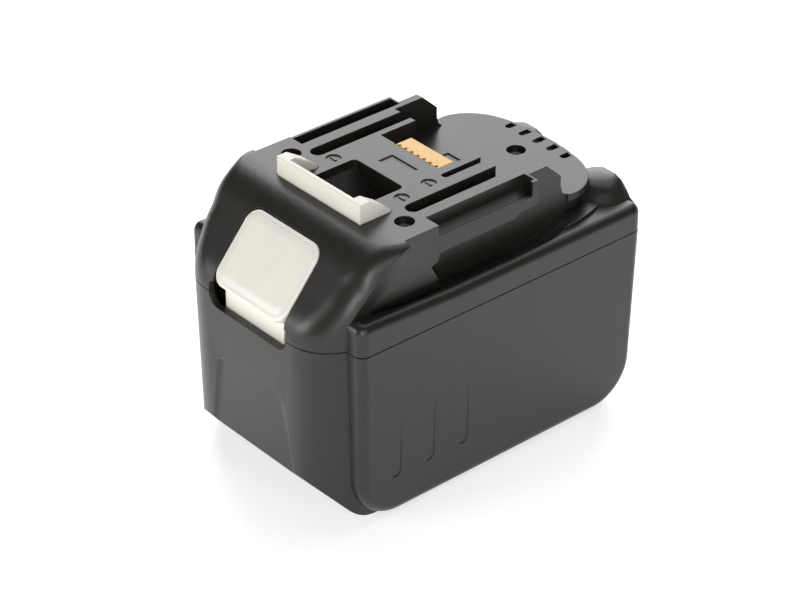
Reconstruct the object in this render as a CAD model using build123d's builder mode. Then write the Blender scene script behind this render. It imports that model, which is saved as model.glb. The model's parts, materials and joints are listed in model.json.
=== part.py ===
"""Lithium-ion battery pack, every piece in its place.

Millimetres. The origin is the middle of the base, +Z is up, -Y is the button
end and +X is the right-hand side as the button faces the reader.
"""

import os
from math import atan2, cos, hypot, radians, sin, sqrt, tan

from build123d import *

os.makedirs("parts", exist_ok=True)

# Housing, outside
BODY_HALF = 37.5
BODY_FRONT = -48.1
BODY_REAR = 57.05
NOSE_HALF = 32.5
NOSE_FRONT = -57.3
NOSE_CORNER = 14.0
PARTING = 57.3
SIDE_DRAFT = 0.02
FRONT_DRAFT = 0.023
HEEL_R = 14.0
SIDE_EDGE_R = 3.0
CHIN_FOOT = -44.0
CHIN_HEIGHT = 13.7
WALL = 2.0

# Rim between the halves
TONGUE_T = 0.9
TONGUE_H = 1.5
RIM_GAP = 0.1

# Slope, crest and deck
DECK = 84.16
SLOPE = 1.2
SLOPE_Y = -42.4
SLOPE_Z = 79.5
BEND_R = 12.0
CREST_R = 15.0
FAN_Y = -28.0
BLOCK_HALF = 32.0
RAIL_HALF = 31.6
CORE_HALF = 27.6
SHOULDER = 65.3
SHOULDER_FRONT = 66.8
SHOULDER_R = 2.8
SKIN = 2.2

# Rear plate and bay
PLATE = 72.3
PLATE_T = 2.3
BAY_HALF = 25.0
TIER = 66.2

# Slots
SLOT_IN = 18.1
SLOT_OUT = 22.6
SLOT_FRONT = -17.2
SLOT_REAR = 17.4
POCKET_IN = 26.5
POCKET_OUT = 30.6
POCKET_FRONT = -15.8
POCKET_REAR = 20.4
UNDERCUT_FLOOR = 62.9

# Latch
SLIDE_GAP = 0.3
BUTTON_HALF = 15.4
NOTCH_HALF = 16.9
NOTCH_FLOOR = 53.0
HOOK_TOP = 90.0
HOOK_HALF = 17.8
ARM_IN = 13.6
BAR_FRONT = -31.6
BAR_REAR = -29.4
ARM_REAR = -20.5
HOLE_HALF = 10.5
HOLE_REAR = -9.7

# Screws
SCREWS = [(-24.3, -21.4, 80.3), (24.3, -21.4, 80.3), (0.0, 42.0, 68.6)]
SCREW_HEAD_R = 2.6
SCREW_HEAD_H = 2.0
SCREW_R = 1.5
SCREW_L = 10.0
COUNTERBORE_R = 2.85

# Cells
CELL_R = 9.1
CELL_L = 65.0
CELL_PITCH_Y = 19.4
CELL_PITCH_Z = 18.6
CELL_MID_Y = 4.1
CELL_LOW_Z = 11.7
COLUMNS = [CELL_MID_Y + CELL_PITCH_Y * i for i in (-2, -1, 0, 1, 2)]
LAYERS = [CELL_LOW_Z + CELL_PITCH_Z * i for i in (0, 1, 2)]

BOARD = 60.4
BOARD_T = 1.6

YZ = Plane.YZ


def block(x0, x1, y0, y1, z0, z1):
    """A box given by its limits."""
    made = Box(x1 - x0, y1 - y0, z1 - z0, mode=Mode.PRIVATE)
    return Pos((x0 + x1) / 2, (y0 + y1) / 2, (z0 + z1) / 2) * made


def slab_yz(points, x0, x1, rounds=None):
    """A side profile of (y, z) points between two values of x; rounds gives a radius by corner."""
    with BuildPart() as made:
        with BuildSketch(YZ.offset(x0)) as face:
            Polygon(*points, align=None)
            for (py, pz), radius in (rounds or {}).items():
                corner = face.vertices().sort_by_distance(Vector(py, pz))[0]
                fillet(corner, radius)
        extrude(amount=x1 - x0)
    return made.part


def slab_xz(points, y0, y1, rounds=None):
    """A front profile of (x, z) points between two values of y."""
    plane = Plane(origin=(0, y1, 0), x_dir=(1, 0, 0), z_dir=(0, -1, 0))
    with BuildPart() as made:
        with BuildSketch(plane) as face:
            Polygon(*points, align=None)
            for (px, pz), radius in (rounds or {}).items():
                corner = face.vertices().sort_by_distance(Vector(px, pz))[0]
                fillet(corner, radius)
        extrude(amount=y1 - y0)
    return made.part


def slab_xy(points, z0, z1, rounds=None):
    """A plan of (x, y) points between two heights."""
    with BuildPart() as made:
        with BuildSketch(Plane.XY.offset(z0)) as face:
            Polygon(*points, align=None)
            for (px, py), radius in (rounds or {}).items():
                corner = face.vertices().sort_by_distance(Vector(px, py))[0]
                fillet(corner, radius)
        extrude(amount=z1 - z0)
    return made.part


def rod(x, y, z0, z1, radius):
    """An upright cylinder between two heights."""
    return Pos(x, y, (z0 + z1) / 2) * Cylinder(radius, z1 - z0, mode=Mode.PRIVATE)


def tub(off):
    """The lower housing's outside, or its inside when off is the wall."""
    drop = PARTING
    half = BODY_HALF - off
    front = BODY_FRONT + off
    rear = BODY_REAR - off
    lean = SIDE_DRAFT * drop
    heel = HEEL_R - off
    edge_r = max(SIDE_EDGE_R - off, 1.0)
    body_profile = [
        (front, PARTING),
        (front + lean, off),
        (rear - lean, off),
        (rear, PARTING),
    ]
    with BuildPart() as body:
        add(slab_yz(body_profile, -half, half, {body_profile[1]: heel, body_profile[2]: heel}))
        add(
            slab_xz(
                [(-half + lean, 0), (half - lean, 0), (half, PARTING), (-half, PARTING)],
                front - 5,
                rear + 5,
            ),
            mode=Mode.INTERSECT,
        )
        rim = [
            e
            for e in body.edges()
            if abs(e.center().X) > half - lean - 0.5 and e.center().Z < PARTING - 0.1
        ]
        fillet(rim, edge_r)
    nose_half = NOSE_HALF - off
    nose_front = NOSE_FRONT + off
    nose_lean = FRONT_DRAFT * drop
    turn = atan2(CHIN_HEIGHT, CHIN_FOOT - (NOSE_FRONT + FRONT_DRAFT * (PARTING - CHIN_HEIGHT)))
    foot = CHIN_FOOT + off * tan(turn / 2)
    reach = foot - 18.0
    nose_profile = [
        (10, PARTING),
        (nose_front - 5, PARTING),
        (reach, off + (foot - reach) * tan(turn)),
        (foot, off),
        (10, off),
    ]
    with BuildPart() as nose:
        add(
            slab_yz(
                [(10, PARTING), (nose_front, PARTING), (nose_front + nose_lean, 0), (10, 0)],
                -nose_half,
                nose_half,
            )
        )
        uprights = [
            e
            for e in nose.edges().filter_by(lambda e: abs(e.tangent_at(0.5).Z) > 0.9)
            if e.center().Y < 0
        ]
        fillet(uprights, NOSE_CORNER - off)
        add(slab_yz(nose_profile, -50, 50, {(foot, off): 12.0 - off}), mode=Mode.INTERSECT)
    return body.part + nose.part


def rim_ring(outer_off, inner_off, z0, z1):
    """A ring that follows the parting line between two offsets."""
    return plan_block(outer_off, z0, z1) - plan_block(inner_off, z0 - 1, z1 + 1)


def plan_block(off, z0, z1):
    """The parting line's outline, offset inwards, as an upright block."""
    half = BODY_HALF - off
    front = BODY_FRONT + off
    rear = BODY_REAR - off
    body = slab_xy(
        [(-half, front), (half, front), (half, rear), (-half, rear)],
        z0,
        z1,
        {
            (-half, front): max(SIDE_EDGE_R - off, 0.8),
            (half, front): max(SIDE_EDGE_R - off, 0.8),
            (half, rear): max(SIDE_EDGE_R - off, 0.8),
            (-half, rear): max(SIDE_EDGE_R - off, 0.8),
        },
    )
    nose_half = NOSE_HALF - off
    nose_front = NOSE_FRONT + off
    nose = slab_xy(
        [(-nose_half, nose_front), (nose_half, nose_front), (nose_half, 0), (-nose_half, 0)],
        z0,
        z1,
        {
            (-nose_half, nose_front): NOSE_CORNER - off,
            (nose_half, nose_front): NOSE_CORNER - off,
        },
    )
    return body + nose


def front_at(z, out=0.0):
    """The y of the drafted front face at a height."""
    return NOSE_FRONT + FRONT_DRAFT * (PARTING - z) - out


def side_at(z):
    """The half width of the drafted side at a height."""
    return BODY_HALF - SIDE_DRAFT * (PARTING - z)


PANEL_PLANE = Plane(
    origin=(0, front_at(0), 0),
    x_dir=(1, 0, 0),
    z_dir=(0, -1, -FRONT_DRAFT),
)


def panel_face(grow, depth):
    """The front panel's rounded trapezoid, on a plane sunk below the front face."""
    with BuildSketch(PANEL_PLANE.offset(-depth)) as face:
        Polygon(
            (-17.6 - grow, 8.0),
            (17.6 + grow, 8.0),
            (14.4 + grow, 36.4 + grow),
            (-14.4 - grow, 36.4 + grow),
            align=None,
        )
        top = face.vertices().filter_by(lambda v: v.Y > 30)
        fillet(top, 3.0 + grow)
    return face.sketch


with BuildPart() as panel_cut:
    add(panel_face(1.2, -0.4))
    add(panel_face(-0.2, 0.8))
    loft(ruled=True)

FLUTES_Y = [-35.0, -22.8, -10.4]
FLUTE_HALF = 1.8
FLUTE_LOW = 14.6
FLUTE_HIGH = 38.0
FLUTE_DEPTH = 0.55


def flute(y, sign):
    """A shallow upright flute that is deepest at its round foot and runs out at its top."""
    low = side_at(FLUTE_LOW) - FLUTE_DEPTH
    high = side_at(FLUTE_HIGH) + 0.05
    lean = (high - low) / (FLUTE_HIGH - FLUTE_LOW)
    plane = Plane(
        origin=(sign * (low - lean * FLUTE_LOW), y, 0),
        x_dir=(0, sign, 0),
        z_dir=(sign, 0, -lean),
    )
    with BuildPart() as cut:
        with BuildSketch(plane):
            with Locations((0, (FLUTE_LOW + FLUTE_HIGH) / 2)):
                SlotOverall(FLUTE_HIGH - FLUTE_LOW + 4, 2 * FLUTE_HALF, rotation=90)
        extrude(amount=3)
    return cut.part


SPRING_X = 8.0
SPRING_Y = -50.2
SPRING_R = 2.6
SPRING_FOOT = 41.0
SPRING_TOP = 59.0

with BuildPart() as lower_housing:
    add(tub(0.0))
    add(tub(WALL), mode=Mode.SUBTRACT)
    # The tongue goes up inside the upper half's rebate.
    add(rim_ring(WALL - TONGUE_T, WALL - 0.06, PARTING - 0.6, PARTING + TONGUE_H))
    # A shallow shadow gap runs round the outside of the parting line.
    add(rim_ring(-1.0, 0.5, PARTING - 0.3, PARTING + 0.01), mode=Mode.SUBTRACT)
    add(panel_cut.part, mode=Mode.SUBTRACT)
    for flute_y in FLUTES_Y:
        for side in (-1, 1):
            add(flute(flute_y, side), mode=Mode.SUBTRACT)
    # The thumb notch under the latch.
    add(
        slab_xz(
            [
                (-NOTCH_HALF, NOTCH_FLOOR),
                (NOTCH_HALF, NOTCH_FLOOR),
                (NOTCH_HALF, 62),
                (-NOTCH_HALF, 62),
            ],
            -60,
            -51,
            {(-NOTCH_HALF, NOTCH_FLOOR): 3.75, (NOTCH_HALF, NOTCH_FLOOR): 3.75},
        ),
        mode=Mode.SUBTRACT,
    )
    # Two posts in front of the cells carry the latch springs.
    for side in (-1, 1):
        add(
            slab_yz(
                [
                    (front_at(8) + 1.0, 18.0),
                    (SPRING_Y + 3.0, 24.0),
                    (SPRING_Y + 3.0, SPRING_FOOT),
                    (front_at(40) + 1.0, SPRING_FOOT),
                ],
                side * SPRING_X - 3.2,
                side * SPRING_X + 3.2,
            )
        )
        add(rod(side * SPRING_X, SPRING_Y, SPRING_FOOT - 1, SPRING_FOOT + 3, 1.4))
lower_housing.part.label = "lower_housing"
export_step(lower_housing.part, "parts/lower_housing.step")


# The nose is a fan of sections about an axis along X, so that its corners can
# open from the crest down to the parting line.
SLOPE_LEN = hypot(1.0, SLOPE)
SLOPE_NY = -SLOPE / SLOPE_LEN
SLOPE_NZ = 1.0 / SLOPE_LEN
BEND_CORNER_Z = SLOPE_Z + SLOPE * (NOSE_FRONT - SLOPE_Y)
BEND_TURN = radians(90) - atan2(SLOPE, 1.0)
BEND_CY = NOSE_FRONT + BEND_R
BEND_CZ = BEND_CORNER_Z - BEND_R * tan(BEND_TURN / 2)
CREST_CORNER_Y = SLOPE_Y + (DECK - SLOPE_Z) / SLOPE
CREST_CY = CREST_CORNER_Y + CREST_R * tan(atan2(SLOPE, 1.0) / 2)
CREST_CZ = DECK - CREST_R


def ray_circle(uy, uz, cy, cz, radius):
    """The far distance at which a ray from the fan's axis leaves a circle."""
    dy = cy - FAN_Y
    dz = cz - PARTING
    along = dy * uy + dz * uz
    rest = dy * dy + dz * dz - along * along
    return along + sqrt(max(radius * radius - rest, 0.0))


def fan_reach(angle):
    """How far the side profile lies from the fan's axis at an angle above -Y."""
    uy = -cos(angle)
    uz = sin(angle)
    bend_end = atan2(
        BEND_CZ + BEND_R * SLOPE_NZ - PARTING, FAN_Y - (BEND_CY + BEND_R * SLOPE_NY)
    )
    crest_start = atan2(
        CREST_CZ + CREST_R * SLOPE_NZ - PARTING, FAN_Y - (CREST_CY + CREST_R * SLOPE_NY)
    )
    crest_end = atan2(DECK - PARTING, FAN_Y - CREST_CY)
    if angle <= bend_end:
        return ray_circle(uy, uz, BEND_CY, BEND_CZ, BEND_R)
    if angle <= crest_start:
        gap = (SLOPE_Y - FAN_Y) * SLOPE_NY + (SLOPE_Z - PARTING) * SLOPE_NZ
        return gap / (uy * SLOPE_NY + uz * SLOPE_NZ)
    if angle <= crest_end:
        return ray_circle(uy, uz, CREST_CY, CREST_CZ, CREST_R)
    return (DECK - PARTING) / uz


def blend(value, stops):
    """A value read off a list of (position, value) stops with eased steps."""
    for (a, va), (b, vb) in zip(stops, stops[1:]):
        if value <= b:
            t = (value - a) / (b - a)
            t = t * t * (3 - 2 * t)
            return va + (vb - va) * t
    return stops[-1][1]


FAN_ANGLES = [0, 8, 16, 25, 35, 45, 55, 64, 73, 82, 90]
HALF_STOPS = [(0, NOSE_HALF), (35, 33.9), (60, 34.4), (90, 35.4)]
CORNER_STOPS = [(0, NOSE_CORNER), (40, 9.0), (65, 7.0), (90, 3.4)]


def fan(skin, half_limit, start):
    """The nose, or its inside when skin is the wall."""
    with BuildPart() as made:
        for step in FAN_ANGLES:
            angle = radians(step)
            reach = fan_reach(angle) - skin
            half = min(blend(step, HALF_STOPS) - skin, half_limit)
            corner = max(blend(step, CORNER_STOPS) - skin, 1.0)
            plane = Plane(
                origin=(0, FAN_Y, PARTING),
                x_dir=(1, 0, 0),
                z_dir=(0, -sin(angle), -cos(angle)),
            )
            out = plane.to_local_coords(Vector(0, FAN_Y - cos(angle), PARTING + sin(angle))).Y
            with BuildSketch(plane) as face:
                Polygon(
                    (-half, out * start),
                    (half, out * start),
                    (half, out * reach),
                    (-half, out * reach),
                    align=None,
                )
                far = face.vertices().sort_by_distance(Vector(0, 0))[2:]
                fillet(far, corner)
        loft()
    return made.part


NOSE_DIAG = (-27.9, 75.7)
NOSE_DIAG_END = (-46.1, 66.1)
NOSE_LEAN = 0.34


def nose_side_limit(sign):
    """Everything that the nose may fill on one side: flat below the diagonal, leaning out above."""
    dy = NOSE_DIAG[0] - NOSE_DIAG_END[0]
    dz = NOSE_DIAG[1] - NOSE_DIAG_END[1]
    length = hypot(dy, dz)
    plane = Plane(
        origin=(0, NOSE_DIAG[0], NOSE_DIAG[1]),
        x_dir=(1, 0, 0),
        z_dir=(0, dy / length, dz / length),
    )
    up = plane.to_local_coords(Vector(0, NOSE_DIAG[0], NOSE_DIAG[1] + 1)).Y
    up = 1 if up > 0 else -1
    with BuildPart() as made:
        with BuildSketch(plane):
            Polygon(
                (0, -40 * up),
                (sign * BLOCK_HALF, -40 * up),
                (sign * BLOCK_HALF, 0),
                (sign * (BLOCK_HALF + 30 * NOSE_LEAN), 30 * up),
                (0, 30 * up),
                align=None,
            )
        extrude(amount=60, both=True)
    return made.part


with BuildPart() as nose:
    add(fan(0.0, 99.0, 4.0))
    add(nose_side_limit(-1) + nose_side_limit(1), mode=Mode.INTERSECT)

with BuildPart() as shoulder_box:
    add(
        slab_yz(
            [
                (BODY_FRONT, PARTING),
                (BODY_FRONT, SHOULDER_FRONT),
                (-14.0, SHOULDER),
                (BODY_REAR, SHOULDER),
                (BODY_REAR, PARTING),
            ],
            -BODY_HALF,
            BODY_HALF,
        )
    )
    corners = shoulder_box.edges().filter_by(Axis.Z)
    fillet(corners, SIDE_EDGE_R + 0.2)
    crown = [e for e in shoulder_box.edges() if e.center().Z > SHOULDER - 0.5]
    crown = [
        e
        for e in crown
        if abs(e.center().X) > BODY_HALF - 4
        or e.center().Y > BODY_REAR - 1
        or e.center().Y < BODY_FRONT + 1
    ]
    fillet(crown, SHOULDER_R)


def plate_points(off):
    """The right half of the rear plate's outline, from its lobe to the middle."""
    line = [
        (28.0, 35.6),
        (28.7, 38.2),
        (28.1, 41.9),
        (25.7, 46.0),
        (21.6, 49.6),
        (16.9, 51.7),
        (11.2, 53.0),
        (5.0, 53.7),
        (0.0, 53.8),
    ]
    moved = []
    for i, (px, py) in enumerate(line):
        ax, ay = line[max(i - 1, 0)]
        bx, by = line[min(i + 1, len(line) - 1)]
        length = hypot(bx - ax, by - ay)
        nx = (by - ay) / length
        ny = -(bx - ax) / length
        moved.append((px - off * nx, py - off * ny))
    moved[-1] = (0.0, line[-1][1] - off)
    return moved


def plate_block(off, front, z0, z1):
    """The rear plate's outline as a block, offset inwards."""
    right = plate_points(off)
    left = [(-px, py) for px, py in reversed(right)]
    with BuildPart() as made:
        with BuildSketch(Plane.XY.offset(z0)):
            with BuildLine():
                Spline(*(right + left[1:]))
                Polyline(left[-1], (left[-1][0], front), (right[0][0], front), right[0])
            make_face()
        extrude(amount=z1 - z0)
    return made.part


def tier_block():
    """The low pad that the plate's wall stands on."""
    right = [(33.6, 27.5), (33.4, 31.0), (32.2, 40.0), (29.9, 47.0), (26.6, 51.8), (20.0, 54.2)]
    left = [(-px, py) for px, py in reversed(right)]
    with BuildPart() as made:
        with BuildSketch(Plane.XY.offset(60.0)):
            with BuildLine():
                Spline(*right)
                Line(right[-1], left[0])
                Spline(*left)
                Polyline(left[-1], (-33.0, 21.0), (33.0, 21.0), right[0])
            make_face()
        extrude(amount=TIER - 60.0)
    return made.part


def hump(x, y, top):
    """A rounded swelling on the rear shoulder."""
    with BuildPart() as made:
        with BuildSketch(Plane.XZ):
            with BuildLine():
                Spline(
                    (0, top),
                    (3.2, top - 0.7),
                    (5.6, top - 2.4),
                    (8.5, top - 3.7),
                    (12.0, SHOULDER - 0.3),
                    tangents=((1, 0), (1, -0.12)),
                )
                Polyline((12.0, SHOULDER - 0.3), (12.0, 62.0), (0, 62.0), (0, top))
            make_face()
        revolve(axis=Axis.Z)
    return Pos(x, y, 0) * made.part


UNDERCUT = [
    (-14.7, 74.9),
    (-15.6, 72.9),
    (-18.4, 72.0),
    (-14.1, 64.2),
    (-14.1, UNDERCUT_FLOOR),
    (23.0, UNDERCUT_FLOOR),
    (32.0, TIER + 0.2),
    (22.5, TIER + 0.2),
    (22.5, 78.5),
    (20.2, 76.3),
    (14.5, 76.3),
    (12.9, 74.9),
]

WALL_PROFILE = [
    (-16.0, 60.0),
    (-16.0, DECK),
    (28.0, DECK),
    (33.5, 79.0),
    (33.5, 76.0),
    (34.2, 73.4),
    (35.6, PLATE),
    (35.6, 60.0),
]


def groove(sign):
    """The valley between the block and the shoulder, running out towards the front."""
    sections = [(-40.0, 65.6), (-32.0, 64.0), (-24.6, 62.9), (-11.6, 62.5), (24.0, 62.5), (33.0, 66.1)]
    with BuildPart() as made:
        for y, low in sections:
            rise = 66.9 - low
            plane = Plane(origin=(0, y, 0), x_dir=(1, 0, 0), z_dir=(0, -1, 0))
            with BuildSketch(plane):
                Polygon(
                    (sign * 31.0, low),
                    (sign * 32.3, low),
                    (sign * (32.3 + rise * 0.86), low + rise),
                    (sign * 31.0, low + rise),
                    align=None,
                )
        loft(ruled=True)
    return made.part


WALL_LEFT = -16.0
RECESS = 0.35
VENTS = [-11.7, -5.84, 0.0, 5.84, 11.7]
DIALS = [(13.0, -2.9), (14.2, -13.7), (-14.6, -14.1)]
CONN_X0 = -9.5
CONN_X1 = 8.7
CONN_Y0 = 4.3
CONN_Y1 = 10.2

BUTTON_PLANE = Plane(
    origin=(0, -50.0, 71.08),
    x_dir=(1, 0, 0),
    z_dir=(0, -0.761, 0.649),
)
BUTTON_TOP = 11.72
BUTTON_LOW = -12.33


def button_slab(grow, low, z0, z1):
    """The button's rounded outline as a slab square to the slope."""
    with BuildPart() as made:
        with BuildSketch(BUTTON_PLANE.offset(z0)) as face:
            half = BUTTON_HALF + grow
            Polygon(
                (-half, low),
                (half, low),
                (half, BUTTON_TOP + grow),
                (-half, BUTTON_TOP + grow),
                align=None,
            )
            fillet(face.vertices(), 4.6 + grow)
        extrude(amount=z1 - z0)
    return made.part


with BuildPart() as upper_housing:
    add(nose.part)
    add(shoulder_box.part)
    add(block(-BLOCK_HALF, BLOCK_HALF, FAN_Y - 1.5, POCKET_FRONT, 60, DECK))
    add(block(-RAIL_HALF, RAIL_HALF, POCKET_FRONT - 1, POCKET_REAR + 0.6, 60, DECK))
    add(slab_yz(WALL_PROFILE, -CORE_HALF, CORE_HALF))
    add(tier_block())
    add(plate_block(2.0, 17.0, 64.0, PLATE - 1.0))
    add(plate_block(0.0, 30.0, PLATE - PLATE_T, PLATE))
    add(hump(20.5, 49.6, 69.4))
    add(hump(-12.5, 49.6, 69.2))
    # Nothing on the rear shoulder passes the rear wall.
    add(block(-60, 60, BODY_REAR - 1.2, 80, SHOULDER - 0.6, 90), mode=Mode.SUBTRACT)
    add(block(-60, 60, BODY_REAR, 80, 50, 90), mode=Mode.SUBTRACT)
    for side in (-1, 1):
        add(groove(side), mode=Mode.SUBTRACT)
        inner, outer = sorted((side * CORE_HALF, side * 33.6))
        add(slab_yz(UNDERCUT, inner, outer), mode=Mode.SUBTRACT)
        # The rail's rear end steps in to the wall.
        inner, outer = sorted((side * CORE_HALF, side * 33.0))
        add(block(inner, outer, POCKET_REAR + 0.6, 36, TIER, 90), mode=Mode.SUBTRACT)
        # The recess along the rail's top.
        inner, outer = sorted((side * POCKET_IN, side * POCKET_OUT))
        add(block(inner, outer, POCKET_FRONT, POCKET_REAR, 78.4, 90), mode=Mode.SUBTRACT)
        # The guide slot for the tool's terminal.
        inner, outer = sorted((side * SLOT_IN, side * SLOT_OUT))
        radius = (SLOT_OUT - SLOT_IN) / 2 - 0.01
        add(
            slab_xy(
                [
                    (inner, SLOT_FRONT),
                    (outer, SLOT_FRONT),
                    (outer, SLOT_REAR + 2),
                    (inner, SLOT_REAR + 2),
                ],
                PLATE,
                90,
                {(inner, SLOT_FRONT): radius, (outer, SLOT_FRONT): radius},
            ),
            mode=Mode.SUBTRACT,
        )
        add(block(inner + 0.2, outer - 0.2, -12, 3.5, 60, PLATE + 1), mode=Mode.SUBTRACT)
    # On the right the rail's outer wall is cut down and its corner bevelled.
    add(block(POCKET_IN + 1, 40, POCKET_FRONT, POCKET_REAR - 1.4, 79.8, 90), mode=Mode.SUBTRACT)
    add(
        slab_xz(
            [(POCKET_IN, 78.4), (POCKET_OUT, 78.4), (POCKET_IN, 79.8)],
            POCKET_FRONT - 0.2,
            POCKET_REAR + 0.2,
        )
    )
    # The bay behind the deck, and the steps round the connector.
    add(block(-BAY_HALF, BAY_HALF, SLOT_REAR, 60, PLATE, 90), mode=Mode.SUBTRACT)
    add(block(WALL_LEFT, CONN_X0 - 0.2, 4.4, SLOT_REAR + 1, PLATE, 90), mode=Mode.SUBTRACT)
    add(block(CONN_X0 - 0.5, 10.6, 10.3, SLOT_REAR + 1, PLATE, 90), mode=Mode.SUBTRACT)
    add(
        slab_xy(
            [(11.8, 2.2), (14.0, 2.2), (14.0, 18), (11.8, 18)],
            PLATE + 1.6,
            90,
            {(11.8, 2.2): 1.05, (14.0, 2.2): 1.05},
        ),
        mode=Mode.SUBTRACT,
    )
    # The connector's own opening.
    add(
        block(CONN_X0 - 0.2, CONN_X1 + 0.2, CONN_Y0 - 0.2, CONN_Y1 + 0.2, 60, 90),
        mode=Mode.SUBTRACT,
    )
    # Inside: low space over the cells, high space over the board.
    add(plan_block(WALL - TONGUE_T - RIM_GAP, PARTING - 1, PARTING + TONGUE_H + 0.1), mode=Mode.SUBTRACT)
    body_in = BODY_HALF - WALL
    add(block(-body_in, body_in, BODY_FRONT + WALL, BODY_REAR - WALL, 56, 60.6), mode=Mode.SUBTRACT)
    add(block(-25.4, 25.4, -27.0, 32.0, 56, PLATE - PLATE_T), mode=Mode.SUBTRACT)
    add(plate_block(4.0, 31.0, 56, PLATE - PLATE_T), mode=Mode.SUBTRACT)
    add(block(-14.4, 10.4, -7.0, 2.4, 56, DECK - SKIN), mode=Mode.SUBTRACT)
    add(fan(SKIN, 29.6, 4.2), mode=Mode.SUBTRACT)
    add(block(-29.0, 29.0, FAN_Y - 4.5, FAN_Y - 1.0, 56, 68.0), mode=Mode.SUBTRACT)
    # The latch's space, the hole behind its hook and the hook's slots.
    add(block(-19.6, 19.6, -33.0, -26.0, 60, DECK - SKIN), mode=Mode.SUBTRACT)
    for side in (-1, 1):
        inner, outer = sorted((side * 12.3, side * 19.6))
        add(block(inner, outer, -29.0, -19.6, 60, DECK - SKIN), mode=Mode.SUBTRACT)
        inner, outer = sorted((side * (ARM_IN - SLIDE_GAP), side * (HOOK_HALF + SLIDE_GAP)))
        add(
            block(inner, outer, BAR_FRONT - SLIDE_GAP, ARM_REAR + SLIDE_GAP, 75, 95),
            mode=Mode.SUBTRACT,
        )
    slot_half = HOOK_HALF + SLIDE_GAP
    add(
        block(-slot_half, slot_half, BAR_FRONT - SLIDE_GAP, BAR_REAR + SLIDE_GAP, 75, 95),
        mode=Mode.SUBTRACT,
    )
    add(block(-12.1, 12.1, BAR_REAR + SLIDE_GAP, HOLE_REAR + 1.6, 68.3, DECK - 0.5))
    add(
        slab_xy(
            [
                (-HOLE_HALF, BAR_REAR - 1),
                (HOLE_HALF, BAR_REAR - 1),
                (HOLE_HALF, HOLE_REAR),
                (-HOLE_HALF, HOLE_REAR),
            ],
            70.0,
            90,
            {(-HOLE_HALF, HOLE_REAR): 1.6, (HOLE_HALF, HOLE_REAR): 1.6},
        ),
        mode=Mode.SUBTRACT,
    )
    # A wedge stands inside the hole.
    add(
        slab_xz(
            [(-HOLE_HALF - 0.5, 69.5), (1.5, 69.5), (-1.5, 74.0), (-HOLE_HALF - 0.5, 82.0)],
            BAR_REAR + SLIDE_GAP + 1.0,
            HOLE_REAR + 0.5,
        )
    )
    # The button's opening in the slope, open at its foot, and the notch above the lip.
    add(button_slab(0.35, BUTTON_LOW - 12, -9.0, 6.0), mode=Mode.SUBTRACT)
    add(
        slab_xz(
            [(-NOTCH_HALF, 55), (NOTCH_HALF, 55), (NOTCH_HALF, 60.4), (-NOTCH_HALF, 60.4)],
            -60,
            -51.5,
            {(-NOTCH_HALF, 60.4): 1.0, (NOTCH_HALF, 60.4): 1.0},
        ),
        mode=Mode.SUBTRACT,
    )
    # Screw seats.
    for sx, sy, seat in SCREWS:
        if sy > 0:
            add(rod(sx, sy, 66.4, PLATE - 1, 4.6))
        else:
            add(rod(sx, sy, 56, 78.0, 3.7), mode=Mode.SUBTRACT)
        add(rod(sx, sy, seat, 90, COUNTERBORE_R), mode=Mode.SUBTRACT)
        add(rod(sx, sy, 60, 90, SCREW_R + 0.2), mode=Mode.SUBTRACT)
    # Vents at the rear edge of the plate.
    for vx in VENTS:
        add(
            slab_xy(
                [(vx - 1.1, 48.8), (vx + 1.1, 48.8), (vx + 1.1, 55.2), (vx - 1.1, 55.2)],
                PLATE - PLATE_T - 0.5,
                PLATE + 1,
                {(vx - 1.1, 48.8): 1.05, (vx + 1.1, 48.8): 1.05},
            ),
            mode=Mode.SUBTRACT,
        )
    # Shallow recesses with nothing in them.
    add(block(-5.4, 5.6, -5.5, -0.35, DECK - RECESS, 90), mode=Mode.SUBTRACT)
    for dx, dy in DIALS:
        add(rod(dx, dy, DECK - RECESS, 90, 2.2), mode=Mode.SUBTRACT)
        add(block(dx - 1.2, dx + 1.2, dy - 0.3, dy + 0.3, DECK - RECESS - 0.1, DECK - 0.1))
    add(block(-11.6, -6.0, 19.0, 26.0, PLATE - RECESS, 90), mode=Mode.SUBTRACT)
upper_housing.part.label = "upper_housing"
export_step(upper_housing.part, "parts/upper_housing.step")


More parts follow.
